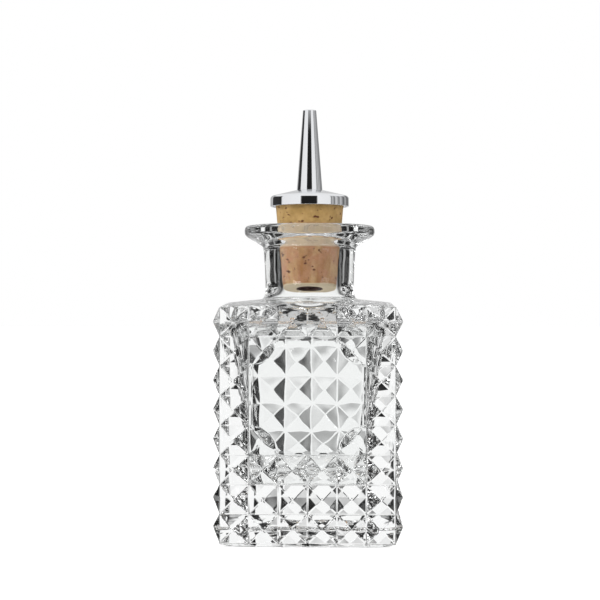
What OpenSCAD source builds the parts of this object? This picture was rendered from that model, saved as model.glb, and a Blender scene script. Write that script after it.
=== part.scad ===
// Bitters bottle: a square pressed-glass bottle covered in pyramids, with a cork stopper
// that carries a chrome cap and a tapered dasher spout.
// Millimetres. +Z is up, the origin is the centre of the base, and the plain panel faces -Y.

/* [Pyramid pattern] */
// Width of one pyramid
cell_w = 9.2; // [8.4:0.1:11]
// Height of one pyramid along the side
cell_h = 9.25; // [8:0.05:11]
// Pyramids across each side
columns = 6; // [6:2:8]
// Rows of pyramids up each side
rows = 8; // [7:1:10]
// How far a pyramid's point stands out of the side
point_h = 2.5; // [1.6:0.1:3.2]

/* [Plain panel] */
// Columns of pyramids that the front panel takes the place of
panel_cols = 4; // [2:2:4]
// Rows of pyramids that the front panel takes the place of
panel_rows = 4; // [3:1:4]
// Rows of pyramids above the panel
rows_above_panel = 1; // [1:1:2]
// How far the panel stands out of the side
panel_h = 0.8; // [0.4:0.1:1.4]
// Width of the panel's bevelled edge
panel_bevel = 1; // [0.6:0.1:1.6]

/* [Base and shoulder] */
// Plain band under the lowest row
base_band = 1.2; // [0.8:0.1:2.5]
// Rounding round the foot of the body
base_edge_r = 0.6; // [0.2:0.1:0.7]
// Radius of the hollow under the base
punt_r = 20; // [12:0.5:23]
// Depth of the hollow under the base
punt_depth = 1.6; // [0.6:0.1:3]
// Height of the shoulder's edge above the top row
shoulder_edge_h = 1.3; // [0.9:0.1:2]
// Rounding of the shoulder's edge
shoulder_edge_r = 1.3; // [0.8:0.1:1.6]
// Rise of the shoulder from its edge to the neck
shoulder_rise = 1.1; // [0.8:0.1:2.5]

/* [Inside of the body] */
// Glass from the valleys between pyramids to the cavity, at the cavity's roof
side_wall = 3.2; // [2.8:0.1:5]
// How much thicker that glass is at the cavity's floor, because the cavity narrows downwards
side_draft = 5.4; // [0:0.1:7]
// Glass under the cavity
floor_t = 17; // [8:0.5:22]
// Glass between the shoulder's edge and the cavity
roof_t = 4.2; // [3:0.1:6]
// Rounding of the cavity's upright corners
cavity_corner_r = 2.5; // [2:0.1:4]
// Rounding where the cavity's sides meet its roof
cavity_top_r = 2.2; // [1:0.1:3]
// Rounding where the cavity's sides meet its floor
cavity_floor_r = 4; // [2:0.5:6]
// Sweep from the bore out into the roof of the cavity
throat_r = 9; // [5:0.5:9]

/* [Neck and lip] */
// Bore of the neck
bore_d = 21.4; // [18:0.1:23]
// Glass of the neck at its foot
neck_wall_low = 3.85; // [3:0.05:5]
// Glass of the neck under the lip
neck_wall_top = 4.65; // [3.2:0.05:5.5]
// Flare at the foot of the neck
foot_flare = 0.9; // [0.4:0.1:1.4]
// Height of that flare
foot_h = 3.3; // [2:0.1:5]
// Fillet between the neck's foot and the shoulder
foot_fillet_r = 0.9; // [0.5:0.1:1.4]
// Height of the neck from the shoulder to the underside of the lip
neck_h = 17.3; // [12:0.1:26]
// How far the lip stands out of the neck
lip_out = 6.25; // [4:0.05:8]
// Thickness of the lip at its rim
lip_rim_t = 3.4; // [2.6:0.1:4.5]
// Height of the sloping underside of the lip
lip_slope_h = 3.7; // [2:0.1:5]
// Rounding of the lip's rim
lip_rim_r = 1.5; // [0.8:0.1:1.6]
// Rounding where the lip's underside leaves the neck
lip_root_r = 2; // [1:0.1:3]
// Rounding of the mouth's inner edge
mouth_r = 0.9; // [0.4:0.1:1.4]

/* [Cork] */
// Length of cork inside the neck, from the top of the lip
cork_in = 21; // [14:0.5:26]
// Length of cork that shows between the lip and the cap
cork_out = 6.3; // [3:0.1:12]
// Diameter of the cork at its lower end
cork_low_d = 17.6; // [14:0.1:19]
// Radial clearance between the cork and the mouth of the neck
cork_clear = 0.05; // [0.02:0.01:0.2]
// Rounding round the cork's ends
cork_edge_r = 0.5; // [0.2:0.1:0.8]
// Wide bore in the lower part of the cork
cork_well_d = 8.9; // [7:0.1:10]
// Depth of that wide bore
cork_well_h = 13; // [8:0.5:15]

/* [Cap and spout] */
// Sheet that the cap is pressed from
cap_wall = 0.7; // [0.5:0.05:1.1]
// Gap between the cork and the cap's skirt
skirt_gap = 0.8; // [0.3:0.1:1.6]
// Height of the cap's skirt, up to where its top begins to round
skirt_h = 3.4; // [2.4:0.1:6]
// Length of the skirt that reaches down over the cork
skirt_over_cork = 2.6; // [1.4:0.1:2.7]
// Rise of the cap's dome above its skirt
dome_h = 2; // [1.2:0.1:3]
// Rounding between the cap's skirt and its dome
cap_edge_r = 1.1; // [1:0.05:1.3]
// Width of the flat in the middle of the cap that the spout stands on
cap_flat_d = 9.6; // [9:0.1:12]
// Height of the spout above the cap
spout_h = 26.7; // [16:0.1:40]
// Diameter of the spout at its foot
spout_foot_d = 8.5; // [7.6:0.1:8.9]
// Diameter of the spout at its tip
spout_tip_d = 4.4; // [3.8:0.1:6]
// Bore of the spout
spout_bore_d = 2.4; // [1.6:0.1:2.8]
// Diameter of the stem that the spout's barbs stand on
stem_d = 5.4; // [4.8:0.1:5.8]
// Height of a barb above the stem
barb_h = 0.45; // [0.2:0.05:0.5]
// Length of one barb
barb_l = 2.4; // [1.6:0.1:3]
// Barbs on the stem
barbs = 4; // [2:1:4]
// Clearance round the barbs in the cap and in the cork
stem_clear = 0.05; // [0.02:0.01:0.1]

/* [Hidden] */
$fn = 96;
// Straight pieces in each rounded corner of an outline
arc_n = 8;
// Margin that keeps one cut from ending exactly on the edge of another
seam = 0.05;
// Extra length by which a cutting shape runs past what it cuts
over = 1;

half_w = columns * cell_w / 2;
pattern_top = base_band + rows * cell_h;
facet_slope = point_h / (cell_h / 2);
shoulder_edge_z = pattern_top + shoulder_edge_h;
shoulder_edge_x = half_w - shoulder_edge_h * facet_slope;

bore_r = bore_d / 2;
neck_low_r = bore_r + neck_wall_low;
neck_top_r = bore_r + neck_wall_top;
foot_r = neck_low_r + foot_flare;
shoulder_top_z = shoulder_edge_z + shoulder_rise;
shoulder_slope = shoulder_rise / (shoulder_edge_x - foot_r);
lip_under_z = shoulder_top_z + neck_h;
lip_r = neck_top_r + lip_out;
mouth_z = lip_under_z + lip_slope_h + lip_rim_t;

cavity_half = half_w - side_wall;
cavity_low_half = cavity_half - side_draft;
cavity_roof_z = shoulder_edge_z - roof_t;
// The sweep of the throat is as wide as the flat of the roof lets it be.
throat_fit_r = min(throat_r, cavity_half - cavity_top_r - bore_r - seam);

panel_top = pattern_top - rows_above_panel * cell_h;
panel_low = panel_top - panel_rows * cell_h;
panel_half = panel_cols * cell_w / 2;
panel_corner_r = cell_w;

// The cork touches the neck where the mouth's rounding ends.
seat_z = mouth_z - mouth_r;
cork_low_z = mouth_z - cork_in;
skirt_low_z = mouth_z + cork_out;
cork_low_r = cork_low_d / 2;
cork_slope = (bore_r - cork_clear - cork_low_r) / (seat_z - cork_low_z);
cork_top_z = skirt_low_z + skirt_over_cork;
cork_top_r = cork_low_r + cork_slope * (cork_top_z - cork_low_z);

cap_r = cork_top_r + skirt_gap + cap_wall;
cap_edge_z = skirt_low_z + skirt_h;
cap_top_z = cap_edge_z + dome_h;
barb_r = stem_d / 2 + barb_h;
stem_hole_r = barb_r + stem_clear;
stem_top_z = cap_top_z - cap_wall;
stem_low_z = cork_low_z + cork_well_h + over;
barb_top_z = stem_top_z - barb_l;
barb_pitch = (barb_top_z - stem_low_z) / barbs;

function unit(v) = v / norm(v);

// The arc that rounds corner b of an outline, between its neighbours a and c.
function corner(a, b, c, r) =
    r == 0 ? [b] :
    let (u = unit(a - b), v = unit(c - b),
         half = acos(u * v) / 2,
         centre = b + unit(u + v) * r / sin(half),
         from = b + u * r / tan(half) - centre,
         to = b + v * r / tan(half) - centre,
         start = atan2(from.y, from.x),
         sweep = (atan2(to.y, to.x) - start + 540) % 360 - 180)
    [for (i = [0 : arc_n]) let (t = start + sweep * i / arc_n) centre + r * [cos(t), sin(t)]];

// A closed outline from points [x, y, rounding].
function rounded(points) =
    let (n = len(points), flat = [for (p = points) [p.x, p.y]])
    [for (i = [0 : n - 1]) each corner(flat[(i + n - 1) % n], flat[i], flat[(i + 1) % n], points[i].z)];

function turned(p, angle) = [p.x * cos(angle) - p.y * sin(angle), p.x * sin(angle) + p.y * cos(angle)];

function both_sides(side) =
    concat(side, [for (i = [len(side) - 1 : -1 : 0]) [-side[i].x, side[i].y, side[i].z]]);

// The body seen from above: a square whose four sides zigzag once per column.
module plan_outline() {
    polygon([for (side = [0 : 3]) for (i = [0 : 2 * columns - 1])
        turned([-half_w + i * cell_w / 2, -half_w - (i % 2) * point_h], side * 90)]);
}

// The body seen from one side: it zigzags once per row, and its top slopes up to the neck.
module side_outline() {
    zigzag = [for (i = [1 : 2 * rows - 1])
        [half_w + (i % 2) * point_h, base_band + i * cell_h / 2, 0]];
    roof_z = shoulder_edge_z + shoulder_slope * shoulder_edge_x + seam;
    polygon(rounded(both_sides(concat(
        [[half_w, 0, base_edge_r], [half_w, base_band, 0]],
        zigzag,
        [[shoulder_edge_x, shoulder_edge_z + seam, shoulder_edge_r], [seam, roof_z, 0]]))));
}

// Stands an outline up, so that its y runs along Z, and gives it a width on both sides.
module upright(width) {
    rotate([90, 0, 0])
        linear_extrude(width, center = true)
            children();
}

// Every side's pyramids come from one cut: each is where two zigzags cross.
module pyramid_block() {
    reach = 2 * (half_w + point_h + over);
    intersection() {
        linear_extrude(shoulder_top_z + shoulder_rise)
            plan_outline();
        upright(reach)
            side_outline();
        rotate([0, 0, 90])
            upright(reach)
                side_outline();
    }
}

// The shoulder's gentle cone, which takes a little off the block's corners.
module shoulder_cone() {
    reach = 2 * half_w;
    apex_z = shoulder_edge_z + shoulder_slope * shoulder_edge_x;
    rotate_extrude()
        polygon([[0, -over], [reach, -over], [reach, apex_z - shoulder_slope * reach], [0, apex_z]]);
}

// Puts a shape's Z along -Y, with its origin on the valley plane of the front.
module on_front() {
    translate([0, -half_w, 0])
        rotate([90, 0, 0])
            children();
}

// One cone on each corner of the panel, from radius r0 at height z0 to radius r1 at height z1.
module panel_corner_cones(z0, r0, z1, r1) {
    for (x = [-panel_half, panel_half], y = [panel_low, panel_top])
        translate([x, y, z0])
            cylinder(h = z1 - z0, r1 = r0, r2 = r1);
}

// The raised flat of the panel, bevelled all round, with a quarter circle out of each corner.
module panel_slab() {
    depth = side_wall / 2;
    slope = panel_bevel / panel_h;
    foot = panel_half - seam + depth * slope;
    tall_foot = (panel_top - panel_low) / 2 - seam + depth * slope;
    mid = (panel_top + panel_low) / 2;
    on_front()
        difference() {
            intersection() {
                translate([0, mid, 0])
                    rotate([90, 0, 0])
                        linear_extrude(2 * tall_foot, center = true)
                            polygon([[-foot, -depth], [foot, -depth],
                                     [panel_half - seam - panel_bevel, panel_h],
                                     [-panel_half + seam + panel_bevel, panel_h]]);
                translate([0, mid, 0])
                    rotate([90, 0, 90])
                        linear_extrude(2 * foot, center = true)
                            polygon([[-tall_foot, -depth], [tall_foot, -depth],
                                     [tall_foot - (depth + panel_h) * slope, panel_h],
                                     [-tall_foot + (depth + panel_h) * slope, panel_h]]);
            }
            panel_corner_cones(-depth - over, panel_corner_r - seam - (depth + over + panel_h) * slope,
                               panel_h + over, panel_corner_r - seam + over * slope);
        }
}

// What is cut away above the panel. The four corner pyramids keep the part outside a cone.
module panel_clearing() {
    tip_r = norm([cell_w, cell_h]) / 2 + 3 * seam;
    taper = (panel_corner_r - tip_r) / (point_h - panel_h);
    high = point_h + over;
    on_front()
        difference() {
            translate([-panel_half, panel_low, panel_h])
                cube([2 * panel_half, panel_top - panel_low, high - panel_h]);
            panel_corner_cones(panel_h - over, panel_corner_r + over * taper,
                               high + over, panel_corner_r - (high + over - panel_h) * taper);
        }
}

// Outside of the neck and lip, from inside the shoulder to the top of the lip.
module neck_and_lip() {
    join_z = cavity_roof_z;
    foot_top_z = shoulder_top_z + foot_h;
    rotate_extrude()
        polygon(rounded([
            [0, join_z, 0],
            [foot_r + foot_fillet_r, join_z, 0],
            [foot_r + foot_fillet_r, shoulder_top_z - 3 * seam, 0],
            [foot_r, shoulder_top_z - seam, foot_fillet_r / 2],
            [neck_low_r, foot_top_z, foot_h],
            [neck_top_r, lip_under_z, lip_root_r],
            [lip_r, lip_under_z + lip_slope_h, lip_rim_r],
            [lip_r, mouth_z, lip_rim_r],
            [0, mouth_z, 0]]));
}

// The bore, with a rounded mouth above and a sweep out into the roof of the cavity below.
module bore_and_throat() {
    throat_low_z = cavity_roof_z - cavity_top_r;
    sweep_end_r = bore_r + throat_fit_r;
    rotate_extrude()
        polygon(rounded([
            [0, throat_low_z, 0],
            [sweep_end_r, throat_low_z, 0],
            [sweep_end_r, cavity_roof_z, 0],
            [bore_r, cavity_roof_z, throat_fit_r],
            [bore_r, mouth_z, 0],
            [0, mouth_z, 0]]));
    translate([0, 0, seat_z])
        difference() {
            cylinder(h = mouth_r + over, r = bore_r + mouth_r);
            rotate_extrude()
                translate([bore_r + mouth_r, 0])
                    circle(mouth_r);
        }
}

// The square hollow that holds the bitters, narrower at its floor and rounded on every edge.
module cavity() {
    width = 2 * cavity_half + 2 * over;
    profile = rounded(both_sides([
        [cavity_low_half + seam, floor_t, cavity_floor_r],
        [cavity_half + seam, cavity_roof_z, cavity_top_r]]));
    intersection() {
        translate([0, 0, floor_t - seam])
            linear_extrude(cavity_roof_z - floor_t + 2 * seam, scale = cavity_half / cavity_low_half)
                polygon(rounded([for (side = [0 : 3])
                    let (p = turned([cavity_low_half, -cavity_low_half], side * 90))
                    [p.x, p.y, cavity_corner_r]]));
        upright(width)
            polygon(profile);
        rotate([0, 0, 90])
            upright(width)
                polygon(profile);
    }
}

// The hollow under the base, part of a large sphere.
module punt() {
    r = (punt_r * punt_r + punt_depth * punt_depth) / (2 * punt_depth);
    translate([0, 0, punt_depth - r])
        sphere(r);
}

module glass_bottle() {
    color([0.86, 0.92, 0.93, 0.45])
        difference() {
            union() {
                intersection() {
                    pyramid_block();
                    shoulder_cone();
                }
                panel_slab();
                neck_and_lip();
            }
            panel_clearing();
            cavity();
            bore_and_throat();
            punt();
        }
}

// A tapered natural cork, bored wide from below and narrow from above.
module cork_stopper() {
    well_top_z = cork_low_z + cork_well_h;
    color([0.78, 0.60, 0.38])
        difference() {
            rotate_extrude()
                polygon(rounded([
                    [0, cork_low_z, 0],
                    [cork_low_r, cork_low_z, cork_edge_r],
                    [cork_top_r, cork_top_z, cork_edge_r],
                    [0, cork_top_z, 0]]));
            translate([0, 0, cork_low_z - over])
                cylinder(h = cork_well_h + over, d = cork_well_d);
            translate([0, 0, well_top_z - over])
                cylinder(h = cork_top_z - well_top_z + 2 * over, r = stem_hole_r);
        }
}

// A cap pressed from sheet: a skirt, a rounded edge and a shallow dome with a flat for the spout.
module dasher_cap() {
    flat_r = cap_flat_d / 2;
    color([0.80, 0.81, 0.83])
        rotate_extrude()
            polygon(rounded([
                [stem_hole_r, cap_top_z, 0],
                [stem_hole_r, cap_top_z - cap_wall, 0],
                [flat_r, cap_top_z - cap_wall, 2 * cap_wall],
                [cap_r - cap_wall, cap_edge_z - cap_wall / 2, cap_edge_r - cap_wall],
                [cap_r - cap_wall, skirt_low_z, cap_wall / 4],
                [cap_r, skirt_low_z, cap_wall / 4],
                [cap_r, cap_edge_z, cap_edge_r],
                [flat_r, cap_top_z, 2 * cap_wall]]));
}

// A turned spout with a barbed stem below, bored through from the end of the stem to the tip.
module dasher_spout() {
    tip_z = cap_top_z + spout_h;
    tip_wall = (spout_tip_d - spout_bore_d) / 2;
    funnel_r = stem_d / 2 - cap_wall;
    foot_r = spout_foot_d / 2;
    barb_outline = [for (i = [0 : barbs - 1]) let (top = barb_top_z - i * barb_pitch)
        each [[stem_d / 2, top, 0], [barb_r, top, 0], [stem_d / 2, top - barb_l, 0]]];
    color([0.84, 0.85, 0.87])
        rotate_extrude()
            polygon(rounded(concat(
                [[spout_bore_d / 2, tip_z, tip_wall / 3],
                 [spout_tip_d / 2, tip_z, tip_wall / 3],
                 [foot_r, cap_top_z, 0],
                 [barb_r, cap_top_z, 0],
                 [barb_r, stem_top_z, 0],
                 [stem_d / 2, stem_top_z, 0]],
                barb_outline,
                [[stem_d / 2, stem_low_z, 0],
                 [funnel_r, stem_low_z, 0],
                 [spout_bore_d / 2, stem_low_z + 2 * funnel_r, 0]])));
}

glass_bottle();
cork_stopper();
dasher_cap();
dasher_spout();
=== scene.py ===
"""Bitters bottle: pressed glass, natural cork and a chrome dasher top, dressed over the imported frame.

Lengths are millimetres in the shape code and become metres when a mesh is finished.
"""
from math import atan2, copysign, cos, degrees, hypot, pi, radians, sin, tan

import bmesh
import bpy
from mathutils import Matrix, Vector


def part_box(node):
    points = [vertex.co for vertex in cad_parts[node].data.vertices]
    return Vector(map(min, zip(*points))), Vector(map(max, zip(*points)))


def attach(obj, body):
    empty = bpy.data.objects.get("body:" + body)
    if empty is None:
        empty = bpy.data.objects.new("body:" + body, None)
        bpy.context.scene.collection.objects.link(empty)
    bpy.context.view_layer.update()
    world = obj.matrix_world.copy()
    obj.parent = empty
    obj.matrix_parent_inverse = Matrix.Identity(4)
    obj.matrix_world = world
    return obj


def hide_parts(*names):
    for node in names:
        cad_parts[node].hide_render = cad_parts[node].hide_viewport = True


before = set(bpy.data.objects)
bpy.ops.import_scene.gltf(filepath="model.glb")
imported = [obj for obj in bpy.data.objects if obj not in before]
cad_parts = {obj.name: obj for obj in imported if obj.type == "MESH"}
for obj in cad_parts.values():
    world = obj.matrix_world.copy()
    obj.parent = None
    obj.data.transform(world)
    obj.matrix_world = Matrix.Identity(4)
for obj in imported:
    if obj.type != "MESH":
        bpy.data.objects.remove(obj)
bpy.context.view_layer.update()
MM = 0.001

# Body of the bottle
COLUMNS = 6
ROWS = 8
CELL_W = 9.2
CELL_H = 9.25
POINT_H = 2.5
BASE_BAND = 1.2
HALF = COLUMNS * CELL_W / 2
PATTERN_TOP = BASE_BAND + ROWS * CELL_H
FACET_SLOPE = 2 * POINT_H / CELL_H
SHOULDER_SLOPE = 0.098
# Strip along each facet's edges over which the glass rounds into the next facet
SOFT_EDGE = 0.3
FIRM_EDGE = 0.02

# Plain panel on the front
PANEL_HALF = 2 * CELL_W
PANEL_TOP = PATTERN_TOP - CELL_H
PANEL_LOW = PANEL_TOP - 4 * CELL_H
PANEL_MID = (PANEL_LOW + PANEL_TOP) / 2
PANEL_RAISED = 0.8
PANEL_BEVEL = 1.0

# Stopper, from the frame
CORK_LOW, CORK_TOP = (corner.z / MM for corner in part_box("cork_stopper"))
CORK_TOP_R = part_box("cork_stopper")[1].x / MM
CORK_LOW_R = 8.8
CAP_LOW, CAP_TOP = (corner.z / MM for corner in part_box("dasher_cap"))
CAP_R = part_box("dasher_cap")[1].x / MM
STEM_LOW, SPOUT_TIP = (corner.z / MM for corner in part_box("dasher_spout"))


def rounded(points, steps=6):
    """An outline from points (x, y, rounding), with an arc at each corner that has one."""
    outline = []
    for i, (x, y, r) in enumerate(points):
        b = Vector((x, y))
        if r == 0:
            outline.append(b)
            continue
        u = (Vector(points[i - 1][:2]) - b).normalized()
        v = (Vector(points[(i + 1) % len(points)][:2]) - b).normalized()
        half = u.angle(v) / 2
        centre = b + (u + v).normalized() * r / sin(half)
        start = b + u * r / tan(half) - centre
        sweep = start.angle_signed(b + v * r / tan(half) - centre)
        for k in range(steps + 1):
            t = -sweep * k / steps
            outline.append(centre + Vector((start.x * cos(t) - start.y * sin(t), start.x * sin(t) + start.y * cos(t))))
    return outline


def piece(bm, name, body, node, material):
    """Turns a bmesh in millimetres into a finished piece that stands for a node."""
    bmesh.ops.scale(bm, vec=(MM, MM, MM), verts=bm.verts)
    mesh = bpy.data.meshes.new(name)
    for face in bm.faces:
        face.smooth = True
    bm.to_mesh(mesh)
    bm.free()
    obj = bpy.data.objects.new(name, mesh)
    bpy.context.scene.collection.objects.link(obj)
    mesh.materials.append(material)
    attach(obj, body)
    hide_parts(node)
    return obj


def turned(outline, steps=128):
    """A bmesh spun from a closed outline of (radius, height) about Z."""
    bm = bmesh.new()
    verts = [bm.verts.new((p.x, 0, p.y)) for p in outline]
    edges = [bm.edges.new((verts[i - 1], verts[i])) for i in range(len(verts))]
    bmesh.ops.spin(bm, geom=verts + edges, cent=(0, 0, 0), axis=(0, 0, 1), angle=2 * pi, steps=steps,
                   use_merge=True, use_duplicate=False)
    bmesh.ops.remove_doubles(bm, verts=bm.verts, dist=1e-4)
    bmesh.ops.recalc_face_normals(bm, faces=bm.faces)
    return bm


def ring_point(i, count, size, z, corner=None, drop=0, arch=0):
    """Vertex i of a ring of that half width: a square with rounded corners, or a circle where corner is None.
    drop lowers the vertices down the cone of the shoulder, and arch lifts those between the valleys."""
    side, k = divmod(i, count // 4)
    lift = arch if k % 2 else 0
    along = size * (8 * k / count - 1)
    r = size if corner is None else corner
    straight = size - r
    turn = pi / 4 * max(abs(along) - straight, 0) / r if r else 0
    # Subdivision draws a curved ring in by this much
    r /= (2 + cos(2 * pi / count)) / 3
    x = copysign(min(abs(along), straight) + r * sin(turn), along)
    y = -(straight + r * cos(turn)) + lift * FACET_SLOPE
    for _ in range(side):
        x, y = -y, x
    return Vector((x, y, z + lift - drop * SHOULDER_SLOPE * (hypot(x, y) - size)))


def extrude_loop(bm, loop):
    """Extrudes a closed loop of vertices and returns the new loop, in the same order."""
    edges = [bm.edges.get((loop[i - 1], loop[i])) for i in range(len(loop))]
    made = set(bmesh.ops.extrude_edge_only(bm, edges=edges)["geom"])
    return [next(e.other_vert(v) for e in v.link_edges if e.other_vert(v) in made) for v in loop]


def add_rings(bm, loop, rings):
    """Extrudes a loop of vertices through a list of rings and returns the last loop."""
    for ring in rings:
        loop = extrude_loop(bm, loop)
        for i, v in enumerate(loop):
            v.co = ring_point(i, len(loop), *ring)
    return loop


def halve_edges(bm, loop):
    """Puts a vertex in the middle of each edge of a loop and returns the finer loop."""
    count = len(loop)
    edges = [bm.edges.get((v, loop[(i + 1) % count])) for i, v in enumerate(loop)]
    split = bmesh.ops.subdivide_edges(bm, edges=edges, cuts=1)["geom_inner"]
    middles = {v for v in split if isinstance(v, bmesh.types.BMVert)}
    ring = middles | {v for m in middles for e in m.link_edges for v in e.verts}
    return sorted(ring, key=lambda v: (atan2(v.co.y, v.co.x) + 0.75 * pi + 0.01) % (2 * pi))


# Rings (half width, height, corner rounding, drop, arch) from the hollow of the base to the lowest row
BASE_RINGS = [
    (6, 1.5), (13, 1.05), (18.6, 0.32), (20.5, 0.02, 17), (23.5, 0, 8), (26.4, 0, 2), (27.35, 0.1, 0.4), (HALF, 0.5, 0)]
SIDE_RINGS = [(HALF, BASE_BAND + i * CELL_H, 0) for i in range(ROWS + 1)]
# From the top row over the shoulder, up the neck, over the lip and down the bore
UPPER_RINGS = [
    (27.3, 75.75, 0, 0.6, 0.35), (27.0, 76.25, 0.4, 0.9, 0.2), (26.3, 76.55, 1.2, 1, 0.06), (24, 76.78, 4, 1),
    (20, 77.2, 12, 1), (17, 77.5), (16.2, 77.56), (15.55, 77.75), (15.15, 78.2), (14.85, 79), (14.62, 80.4),
    (14.75, 86), (15.05, 91), (15.3, 94.2), (15.42, 94.8), (15.9, 95.35), (17.8, 96.5), (20, 97.75), (21.25, 98.55),
    (21.6, 99.4), (21.6, 100.7), (21.25, 101.6), (20.3, 102), (16.5, 101.95), (12.4, 102), (11.3, 101.9),
    (10.8, 101.4), (10.7, 100.6), (10.7, 96), (10.7, 90), (10.7, 84.6), (10.8, 82.7)]
# Inside, from the throat to the floor of the cavity
CAVITY_RINGS = [
    (11.65, 80.3), (12.6, 78), (14.2, 74.6), (16.6, 72), (19.5, 71.1, 12), (22.6, 71, 6.5), (24.4, 70.4, 4.2),
    (24.8, 68.8, 3.4), (23.6, 63, 3.3), (22.6, 55, 3.2), (21.5, 45, 3.1), (20.5, 35, 3), (19.7, 27, 3), (19.1, 22, 3),
    (18.4, 19.2, 3), (16.5, 17.6, 6), (12, 17.3, 9), (6, 17.3)]


def outermost_point(co):
    return max(abs(co.x), abs(co.y))


def outermost(face):
    return outermost_point(face.calc_center_median())


def from_panel_edge(co):
    """How far inside the panel's upright and level edges a point is."""
    return PANEL_HALF - abs(co.x), (PANEL_TOP - PANEL_LOW) / 2 - abs(co.z - PANEL_MID)


def raise_pyramids(bm):
    """Raises a pyramid on each cell of the four sides, outside the panel, and returns the facets."""
    cells = [f for f in bm.faces if BASE_BAND < f.calc_center_median().z < PATTERN_TOP
             and abs(f.normal.z) < 0.01 and outermost(f) > HALF - 0.1]
    panel = []
    for cell in cells:
        centre = cell.calc_center_median()
        across, up = from_panel_edge(centre)
        if centre.y < 0.1 - HALF and across > 0 and up > 0 and not (across < CELL_W and up < CELL_H):
            panel.append(cell)
    bmesh.ops.delete(bm, geom=panel, context="FACES")
    poked = bmesh.ops.poke(bm, faces=[f for f in cells if f.is_valid], offset=POINT_H, center_mode="BOUNDS")
    extra = [e for v in poked["verts"] for e in v.link_edges if len(v.link_edges) == 5
             and abs(e.other_vert(v).co.z - PATTERN_TOP) < 0.01 and e.verts[0].co.z != e.verts[1].co.z
             and (e.other_vert(v).co - v.co).length < CELL_H * 0.6]
    bmesh.ops.dissolve_edges(bm, edges=extra, use_verts=False)
    return [f for f in bm.faces if 0.2 < outermost(f) - HALF and BASE_BAND < f.calc_center_median().z]


def open_corner_pyramids(bm):
    """Takes the inner two facets off each corner pyramid of the panel."""
    middle = Vector((0, -HALF, PANEL_MID))
    inner = []
    for point in bm.verts:
        if point.co.y < -HALF - POINT_H + 0.1 and min(from_panel_edge(point.co)) > 0:
            ring = {v for f in point.link_faces for v in f.verts if v is not point}
            near = min(ring, key=lambda v: (v.co - middle).length)
            inner += [f for f in point.link_faces if near in f.verts]
    bmesh.ops.delete(bm, geom=inner, context="FACES")


def panel_opening(bm):
    """The edges round the open panel, and their vertices in order."""
    border = [e for e in bm.edges if e.is_boundary
              and all(v.co.y < 0.01 - HALF and min(from_panel_edge(v.co)) > -0.1 for v in e.verts)]
    loop = [border[0].verts[0]]
    edge = border[0]
    while (vert := edge.other_vert(loop[-1])) is not loop[0]:
        loop.append(vert)
        edge = next(e for e in vert.link_edges if e in border and e is not edge)
    return border, loop


def panel_point(co, inward):
    """Where a point of the opening goes on the raised panel: past the bevel, and round each corner pyramid."""
    across, up = from_panel_edge(co)
    if across < CELL_W + 0.01 and up < CELL_H + 0.01:
        edge = atan2(inward, CELL_W)
        turn = min(max(atan2(up, across), edge), pi / 2 - edge)
        r = CELL_W + inward - PANEL_BEVEL
        across, up = r * cos(turn), r * sin(turn)
    elif across < up:
        across = inward
    else:
        up = inward
    return Vector((copysign(PANEL_HALF - across, co.x), -HALF - PANEL_RAISED,
                   PANEL_MID + copysign((PANEL_TOP - PANEL_LOW) / 2 - up, co.z - PANEL_MID)))


def fill_panel(bm):
    """Fits the raised panel into its opening."""
    border, _ = panel_opening(bm)
    ridges = [e for e in border if any(v.co.y < -HALF - 1 for v in e.verts)]
    bmesh.ops.subdivide_edges(bm, edges=[e for e in border if e not in ridges], cuts=1)
    bmesh.ops.subdivide_edges(bm, edges=ridges, cuts=2)
    _, loop = panel_opening(bm)
    rim = extrude_loop(bm, loop)
    for old, edge in zip(loop, rim):
        edge.co = panel_point(old.co, PANEL_BEVEL)
    bmesh.ops.contextual_create(bm, geom=rim)


def on_pattern(co):
    return outermost_point(co) > HALF - 0.4 and BASE_BAND - SOFT_EDGE < co.z < PATTERN_TOP + 0.95


def facets_of(bm):
    """The flat faces of the pyramids and of the panel's edge."""
    return [f for f in bm.faces if 0.2 < outermost(f) - HALF and BASE_BAND < f.calc_center_median().z < PATTERN_TOP
            and f.calc_area() > 1]


def soften(bm):
    """Rounds the ridges and valleys of the pattern, and keeps the facets between them flat."""
    facets = facets_of(bm)
    lines = {e for f in facets for e in f.edges
             if not e.is_boundary and e.calc_face_angle(0) > radians(8)}
    bmesh.ops.bevel(bm, geom=list(lines), offset=SOFT_EDGE, offset_type="OFFSET", segments=2, profile=0.5,
                    affect="EDGES", clamp_overlap=True, material=-1)
    bmesh.ops.inset_individual(bm, faces=facets_of(bm), thickness=FIRM_EDGE, depth=0, use_even_offset=True)


def glass_bottle():
    """The whole bottle as one closed skin: base, pyramids, panel, shoulder, neck, lip, bore and cavity."""
    bm = bmesh.new()
    firm_edge = bm.edges.layers.float.new("crease_edge")
    firm_point = bm.verts.layers.float.new("crease_vert")
    loop = bmesh.ops.create_circle(bm, cap_ends=True, segments=4 * COLUMNS, radius=1)["verts"]
    for i, v in enumerate(loop):
        v.co = ring_point(i, len(loop), *BASE_RINGS[0])
    loop = add_rings(bm, loop, BASE_RINGS[1:] + SIDE_RINGS)
    loop = halve_edges(bm, loop)
    loop = add_rings(bm, loop, UPPER_RINGS[:3])
    loop = halve_edges(bm, loop)
    loop = add_rings(bm, loop, UPPER_RINGS[3:] + CAVITY_RINGS)
    bmesh.ops.contextual_create(bm, geom=loop)
    bmesh.ops.recalc_face_normals(bm, faces=bm.faces)
    raise_pyramids(bm)
    open_corner_pyramids(bm)
    fill_panel(bm)
    bmesh.ops.recalc_face_normals(bm, faces=bm.faces)
    soften(bm)
    for v in bm.verts:
        if on_pattern(v.co):
            v[firm_point] = 1
    for e in bm.edges:
        if all(on_pattern(v.co) for v in e.verts):
            e[firm_edge] = 1
    return bm


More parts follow.
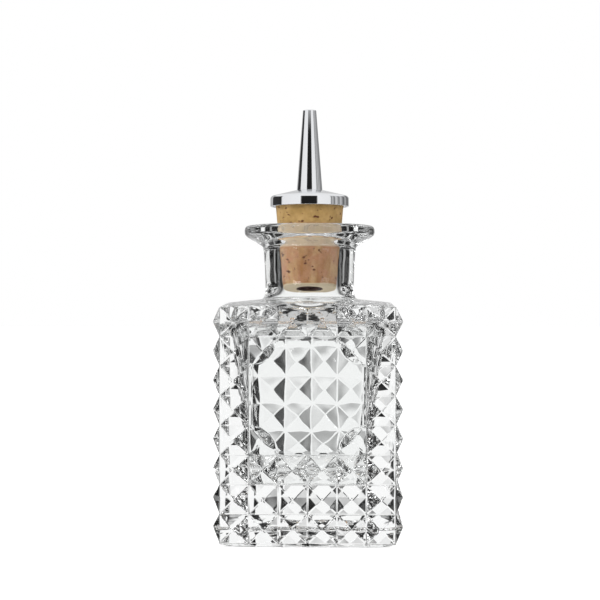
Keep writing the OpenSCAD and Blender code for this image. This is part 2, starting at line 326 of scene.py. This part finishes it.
def clear_glass():
    """Colourless soda glass, fire polished, with the faint unevenness of pressing."""
    mat = bpy.data.materials.new("clear_glass")
    mat.use_nodes = True
    nodes, links = mat.node_tree.nodes, mat.node_tree.links
    shader = nodes["Principled BSDF"]
    shader.inputs["Base Color"].default_value = (0.955, 0.963, 0.96, 1)
    shader.inputs["Roughness"].default_value = 0.0
    shader.inputs["IOR"].default_value = 1.51
    shader.inputs["Transmission Weight"].default_value = 1.0
    shader.inputs["Specular Tint"].default_value = (0.45, 0.45, 0.45, 1)
    coords = nodes.new("ShaderNodeTexCoord")
    wave = nodes.new("ShaderNodeTexNoise")
    wave.inputs["Scale"].default_value = 130
    wave.inputs["Detail"].default_value = 1.0
    bump = nodes.new("ShaderNodeBump")
    bump.inputs["Strength"].default_value = 0.5
    bump.inputs["Distance"].default_value = 0.0003
    links.new(coords.outputs["Object"], wave.inputs["Vector"])
    links.new(wave.outputs["Fac"], bump.inputs["Height"])
    links.new(bump.outputs["Normal"], shader.inputs["Normal"])
    return mat


def value_node(nodes, links, kind, *values):
    """A maths node: numbers are set on it, sockets are joined to it."""
    node = nodes.new("ShaderNodeMath")
    node.operation = kind
    for socket, value in zip(node.inputs, values):
        if isinstance(value, (int, float)):
            socket.default_value = value
        else:
            links.new(value, socket)
    return node.outputs[0]


def between(nodes, links, value, start, end):
    """0 below start, 1 above end, and a straight rise between them."""
    span = nodes.new("ShaderNodeMapRange")
    span.inputs["From Min"].default_value = start
    span.inputs["From Max"].default_value = end
    links.new(value, span.inputs["Value"])
    return span.outputs["Result"]


def noise(nodes, links, place, size, detail=2.0, stretch=(1, 1, 1)):
    """Noise with grains of about the given size in mm."""
    spread = nodes.new("ShaderNodeVectorMath")
    spread.operation = "MULTIPLY"
    spread.inputs[1].default_value = stretch
    links.new(place, spread.inputs[0])
    field = nodes.new("ShaderNodeTexNoise")
    field.inputs["Scale"].default_value = 1 / (size * MM)
    field.inputs["Detail"].default_value = detail
    links.new(spread.outputs["Vector"], field.inputs["Vector"])
    return field.outputs["Fac"]


def blend_of(nodes, links, factor, first, second):
    """Goes from the first colour to the second; each is a socket or a plain colour."""
    mix = nodes.new("ShaderNodeMix")
    mix.data_type = "RGBA"
    for socket, value in ((mix.inputs["Factor"], factor), (mix.inputs["A"], first), (mix.inputs["B"], second)):
        if isinstance(value, (tuple, float)):
            socket.default_value = value
        else:
            links.new(value, socket)
    return mix.outputs["Result"]


def natural_cork():
    """Punched cork: tan above the lip, pinker in the neck, with streaks and dark pits; a pale band of painted light
    behind the glass lip, a painted highlight on the pale end round the bore, and painted shade in the bore.
    """
    mat = bpy.data.materials.new("natural_cork")
    mat.use_nodes = True
    nodes, links = mat.node_tree.nodes, mat.node_tree.links
    shader = nodes["Principled BSDF"]
    shader.inputs["Roughness"].default_value = 0.8
    shader.inputs["Specular IOR Level"].default_value = 0.25
    place = nodes.new("ShaderNodeTexCoord").outputs["Object"]
    split = nodes.new("ShaderNodeSeparateXYZ")
    links.new(place, split.inputs["Vector"])
    height = split.outputs["Z"]
    in_neck = between(nodes, links, height, 103.0 * MM, 101.0 * MM)
    grain = noise(nodes, links, place, 1.0, 4.0)
    patches = noise(nodes, links, place, 4.5, 2.0)
    streaks = noise(nodes, links, place, 3.2, 1.0, (1, 1, 0.12))
    above = blend_of(nodes, links, between(nodes, links, patches, 0.35, 0.65), (0.28, 0.175, 0.06, 1), (0.38, 0.245, 0.097, 1))
    below = blend_of(nodes, links, between(nodes, links, streaks, 0.4, 0.6), (0.30, 0.145, 0.062, 1), (0.42, 0.265, 0.13, 1))
    pink = blend_of(nodes, links, between(nodes, links, patches, 0.42, 0.62), below, (0.37, 0.185, 0.10, 1))
    body = blend_of(nodes, links, in_neck, above, pink)
    shade = value_node(nodes, links, "ADD", value_node(nodes, links, "MULTIPLY", grain, 0.5), 0.75)
    toned = nodes.new("ShaderNodeVectorMath")
    toned.operation = "SCALE"
    links.new(body, toned.inputs[0])
    links.new(shade, toned.inputs["Scale"])
    # Pits, drawn out a little round the stopper
    pit_field = noise(nodes, links, place, 2.4, 1.5, (1, 1, 1.5))
    pits = between(nodes, links, value_node(nodes, links, "ADD", pit_field, value_node(nodes, links, "MULTIPLY", in_neck, 0.035)), 0.665, 0.70)
    fine_pits = between(nodes, links, noise(nodes, links, place, 1.1, 1.0, (1, 1, 0.7)), 0.70, 0.74)
    pits = value_node(nodes, links, "MAXIMUM", pits, value_node(nodes, links, "MULTIPLY", fine_pits, 0.7))
    pitted = blend_of(nodes, links, pits, toned.outputs["Vector"], (0.10, 0.035, 0.018, 1))
    # Painted light: the cork is painted paler in a band at the height of the glass lip, where the lip's thick glass
    # shows it brighter
    painted_lip_light = value_node(nodes, links, "MULTIPLY", between(nodes, links, height, 101.9 * MM, 101.3 * MM),
                      between(nodes, links, height, 95.2 * MM, 96.4 * MM))
    pitted = blend_of(nodes, links, value_node(nodes, links, "MULTIPLY", painted_lip_light, 0.65), pitted, (0.55, 0.48, 0.36, 1))
    # Painted highlight: the end of the cork is painted pale. Painted shade: the bore in it is painted dark.
    painted_end_highlight = between(nodes, links, height, (CORK_LOW + 2.2) * MM, (CORK_LOW + 2.0) * MM)
    ended = blend_of(nodes, links, painted_end_highlight, pitted, (0.5, 0.41, 0.28, 1))
    # Painted shade: the walls of the bore and its rim on the end are painted near black
    length = nodes.new("ShaderNodeVectorMath")
    length.operation = "LENGTH"
    flat = nodes.new("ShaderNodeCombineXYZ")
    links.new(split.outputs["X"], flat.inputs["X"])
    links.new(split.outputs["Y"], flat.inputs["Y"])
    links.new(flat.outputs["Vector"], length.inputs[0])
    painted_bore_shade = between(nodes, links, length.outputs["Value"], 4.65 * MM, 4.5 * MM)
    links.new(blend_of(nodes, links, painted_bore_shade, ended, (0.05, 0.018, 0.012, 1)), shader.inputs["Base Color"])
    bump = nodes.new("ShaderNodeBump")
    bump.inputs["Strength"].default_value = 0.6
    bump.inputs["Distance"].default_value = 0.0003
    links.new(value_node(nodes, links, "SUBTRACT", value_node(nodes, links, "MULTIPLY", grain, 0.4), pits),
              bump.inputs["Height"])
    links.new(bump.outputs["Normal"], shader.inputs["Normal"])
    return mat


def mirror_chrome():
    """Bright chrome with a trace of fine polishing."""
    mat = bpy.data.materials.new("mirror_chrome")
    mat.use_nodes = True
    nodes, links = mat.node_tree.nodes, mat.node_tree.links
    shader = nodes["Principled BSDF"]
    shader.inputs["Base Color"].default_value = (0.86, 0.87, 0.89, 1)
    shader.inputs["Metallic"].default_value = 1.0
    place = nodes.new("ShaderNodeTexCoord").outputs["Object"]
    haze = noise(nodes, links, place, 5.0, 3.0)
    rough = value_node(nodes, links, "ADD", value_node(nodes, links, "MULTIPLY", haze, 0.06), 0.03)
    links.new(rough, shader.inputs["Roughness"])
    bump = nodes.new("ShaderNodeBump")
    bump.inputs["Strength"].default_value = 0.05
    bump.inputs["Distance"].default_value = 0.00005
    links.new(noise(nodes, links, place, 0.35, 2.0, (1, 1, 3)), bump.inputs["Height"])
    links.new(bump.outputs["Normal"], shader.inputs["Normal"])
    return mat


def dress():
    glass = clear_glass()
    cork = natural_cork()
    chrome = mirror_chrome()
    bottle = piece(glass_bottle(), "pressed_glass_bottle", "bottle", "glass_bottle", glass)
    smooth = bottle.modifiers.new("softened_edges", "SUBSURF")
    smooth.levels = smooth.render_levels = 1

    well_top = CORK_LOW + 13
    cork_end = CORK_LOW + 1.8
    piece(turned(rounded([
        (4.45, cork_end, 0.25), (CORK_LOW_R + 0.15, cork_end, 0.4), (CORK_TOP_R - 0.05, CORK_TOP, 0.5),
        (3.25, CORK_TOP, 0), (3.25, well_top, 0), (4.45, well_top, 0)])),
        "natural_cork_stopper", "stopper", "cork_stopper", cork)

    edge_z = CAP_LOW + 3.4
    piece(turned(rounded([
        (3.25, CAP_TOP, 0), (3.25, CAP_TOP - 0.7, 0), (4.8, CAP_TOP - 0.7, 0.5),
        (CAP_R - 0.7, edge_z - 0.35, 0.4), (CAP_R - 0.7, CAP_LOW, 0.2), (CAP_R, CAP_LOW, 0.25),
        (CAP_R, edge_z, 1.1), (4.8, CAP_TOP, 1.5)])),
        "pressed_dasher_cap", "stopper", "dasher_cap", chrome)

    stem_top = CAP_TOP - 0.7
    piece(turned(rounded([
        (1.2, SPOUT_TIP, 0.25), (2.2, SPOUT_TIP, 0.35), (4.25, CAP_TOP + 0.02, 0.1), (3.15, CAP_TOP + 0.02, 0),
        (3.15, stem_top, 0), (2.7, stem_top, 0), (2.7, STEM_LOW, 0), (2.0, STEM_LOW, 0), (1.2, STEM_LOW + 4, 0)])),
        "turned_dasher_spout", "stopper", "dasher_spout", chrome)


def tone_steps(ramp, steps, blend="LINEAR"):
    """Fills a colour ramp from (position, tone) pairs."""
    ramp.interpolation = blend
    while len(ramp.elements) < len(steps):
        ramp.elements.new(0.5)
    for element, (position, tone) in zip(ramp.elements, steps):
        element.position = position
        element.color = tone if isinstance(tone, tuple) else (tone, tone, tone, 1)


# Tone the chrome mirrors by compass angle, as a share of a turn: 0.5 is the camera's side, less is left, more is right
MIRROR_TONES = [
    (0.0, 0.65), (0.04, 0.6), (0.08, 0.4), (0.105, 0.6), (0.115, 0.6), (0.13, 0.04), (0.25, 0.03), (0.262, 0.9),
    (0.43, 0.95), (0.437, 0.015), (0.563, 0.015), (0.57, 0.95), (0.68, 0.9), (0.69, 0.1), (0.7, 0.6), (0.72, 0.15),
    (0.735, 0.7), (0.77, 0.2), (0.79, 0.6), (0.83, 0.1), (0.86, 0.45), (0.9, 0.1), (0.94, 0.3), (0.96, 0.6),
    (1.0, 0.65)]
# Tone of the room as the glass bends it, by compass angle from behind the bottle, as a share of a half turn
GLASS_TONES = [
    (0, 1), (0.075, 1), (0.095, 0.76), (0.108, 0.4), (0.12, 0.08), (0.132, 0.006), (0.25, 0.006), (0.265, 0.35),
    (0.3, 0.35), (0.315, 0.006), (0.45, 0.006), (0.47, 0.85), (0.595, 0.85), (0.615, 0.006), (0.685, 0.006),
    (0.7, 0.35), (0.735, 0.35), (0.75, 0.006), (0.88, 0.006), (0.9, 0.9), (1, 0.9)]


def studio():
    """A pale floor, soft lamps, and a bright room with dark flags that draw the glass and the chrome."""
    scene = bpy.context.scene
    scene.view_settings.view_transform = "Standard"
    scene.cycles.max_bounces = 32
    scene.cycles.transmission_bounces = 32
    scene.cycles.glossy_bounces = 12
    bm = bmesh.new()
    bmesh.ops.create_grid(bm, x_segments=1, y_segments=1, size=3)
    mesh = bpy.data.meshes.new("floor")
    bm.to_mesh(mesh)
    bm.free()
    floor = bpy.data.objects.new("floor", mesh)
    floor.location.z = -0.0002
    scene.collection.objects.link(floor)
    mat = bpy.data.materials.new("pale_floor")
    mat.use_nodes = True
    nodes, links = mat.node_tree.nodes, mat.node_tree.links
    shader = nodes["Principled BSDF"]
    shader.inputs["Base Color"].default_value = (0.9, 0.9, 0.9, 1)
    shader.inputs["Roughness"].default_value = 0.9
    shader.inputs["Specular IOR Level"].default_value = 0.0
    shader.inputs["Emission Color"].default_value = (1, 1, 1, 1)
    shader.inputs["Emission Strength"].default_value = 0.25
    # Rays that glass bends or metal mirrors pass the floor and meet the room below it
    path = nodes.new("ShaderNodeLightPath")
    gone = nodes.new("ShaderNodeMath")
    gone.operation = "MAXIMUM"
    links.new(path.outputs["Is Transmission Ray"], gone.inputs[0])
    links.new(path.outputs["Is Glossy Ray"], gone.inputs[1])
    clear = nodes.new("ShaderNodeBsdfTransparent")
    mix = nodes.new("ShaderNodeMixShader")
    links.new(gone.outputs[0], mix.inputs["Fac"])
    links.new(shader.outputs["BSDF"], mix.inputs[1])
    links.new(clear.outputs["BSDF"], mix.inputs[2])
    links.new(mix.outputs["Shader"], nodes["Material Output"].inputs["Surface"])
    mesh.materials.append(mat)

    world = bpy.data.worlds.new("studio")
    scene.world = world
    world.use_nodes = True
    nodes, links = world.node_tree.nodes, world.node_tree.links
    background = nodes["Background"]
    background.inputs["Strength"].default_value = 1.0
    coords = nodes.new("ShaderNodeTexCoord")
    split = nodes.new("ShaderNodeSeparateXYZ")
    links.new(coords.outputs["Generated"], split.inputs["Vector"])

    def math(kind, *values):
        return value_node(nodes, links, kind, *values)

    def tones(value, steps, blend="LINEAR"):
        ramp = nodes.new("ShaderNodeValToRGB")
        tone_steps(ramp.color_ramp, steps, blend)
        links.new(value, ramp.inputs["Fac"])
        return ramp.outputs["Color"]

    azimuth = math("ARCTAN2", split.outputs["Y"], split.outputs["X"])
    from_back = math("DIVIDE", math("ABSOLUTE", math("ARCTAN2", split.outputs["X"], split.outputs["Y"])), pi)
    glass_room = tones(from_back, GLASS_TONES)
    rise = math("ADD", math("MULTIPLY", split.outputs["Z"], 0.5), 0.5)
    band = tones(rise, [
        (0.19, 0.03), (0.22, 0.5), (0.24, 1), (0.69, 1), (0.72, 0.2), (0.75, 0.02), (1, 0.02)])
    through_glass = math("MULTIPLY", glass_room, band)
    above = tones(rise, [(0.86, 0), (0.9, 0.6)])
    floor_glow = tones(rise, [(0, 0.75), (0.17, 0.6), (0.215, 0.4), (0.23, 0)])
    through_glass = math("MAXIMUM", math("MAXIMUM", through_glass, above), floor_glow)
    # Chrome mirrors: compass angle from the camera's side, as a share of a full turn
    compass = math("FRACT", math("ADD", math("DIVIDE", azimuth, 2 * pi), 0.25 + 0.5))
    mirrored = tones(compass, MIRROR_TONES)
    mirrored = math("MAXIMUM", mirrored, tones(split.outputs["Z"], [(0.33, 0.0), (0.5, 0.9)]))
    path = nodes.new("ShaderNodeLightPath")
    from_left = math("MULTIPLY", math("MINIMUM", path.outputs["Diffuse Depth"], 1),
                     math("SUBTRACT", 1, math("MULTIPLY", split.outputs["X"], 0.45)))
    # Light that comes to the cork through the glass is gathered by it
    gathered = math("ADD", 1, math("MULTIPLY", math("MINIMUM", path.outputs["Transmission Depth"], 1), 0.8))
    direct = math("MAXIMUM", path.outputs["Is Camera Ray"], math("MULTIPLY", from_left, gathered))
    passing = nodes.new("ShaderNodeMix")
    passing.data_type = "FLOAT"
    links.new(path.outputs["Is Transmission Ray"], passing.inputs["Factor"])
    links.new(mirrored, passing.inputs["A"])
    links.new(through_glass, passing.inputs["B"])
    links.new(math("MAXIMUM", passing.outputs["Result"], direct), background.inputs["Color"])

    for name, place, aim, size, power in (
            ("key_softbox", (-0.7, -0.8, 0.7), (0, 0, 0.07), 0.5, 6),
            ("fill_softbox", (0.8, -0.6, 0.5), (0, 0, 0.07), 0.5, 2)):
        lamp = bpy.data.lights.new(name, "AREA")
        lamp.size = size
        lamp.energy = power
        holder = bpy.data.objects.new(name, lamp)
        holder.location = place
        holder.rotation_euler = (Vector(aim) - Vector(place)).to_track_quat("-Z", "Y").to_euler()
        holder.visible_glossy = False
        scene.collection.objects.link(holder)


def camera():
    """The photograph's view: level with the shoulder, a hair to the right of square on."""
    distance = 0.449
    height = 0.0783
    round_by = radians(1.4)
    lens = 81.0
    focal_px = 600 * lens / 36
    axis_px = 309.6
    horizon_px = 297.0
    data = bpy.data.cameras.new("photo_camera")
    data.lens = lens
    data.sensor_width = 36
    data.clip_start = 0.01
    holder = bpy.data.objects.new("photo_camera", data)
    holder.location = (distance * sin(round_by), -distance * cos(round_by), height)
    turn_left = atan2(axis_px - 300, focal_px)
    tip_down = atan2(300 - horizon_px, focal_px)
    holder.rotation_euler = (pi / 2 - tip_down, 0, round_by + turn_left)
    bpy.context.scene.collection.objects.link(holder)
    bpy.context.scene.camera = holder


dress()
studio()
camera()
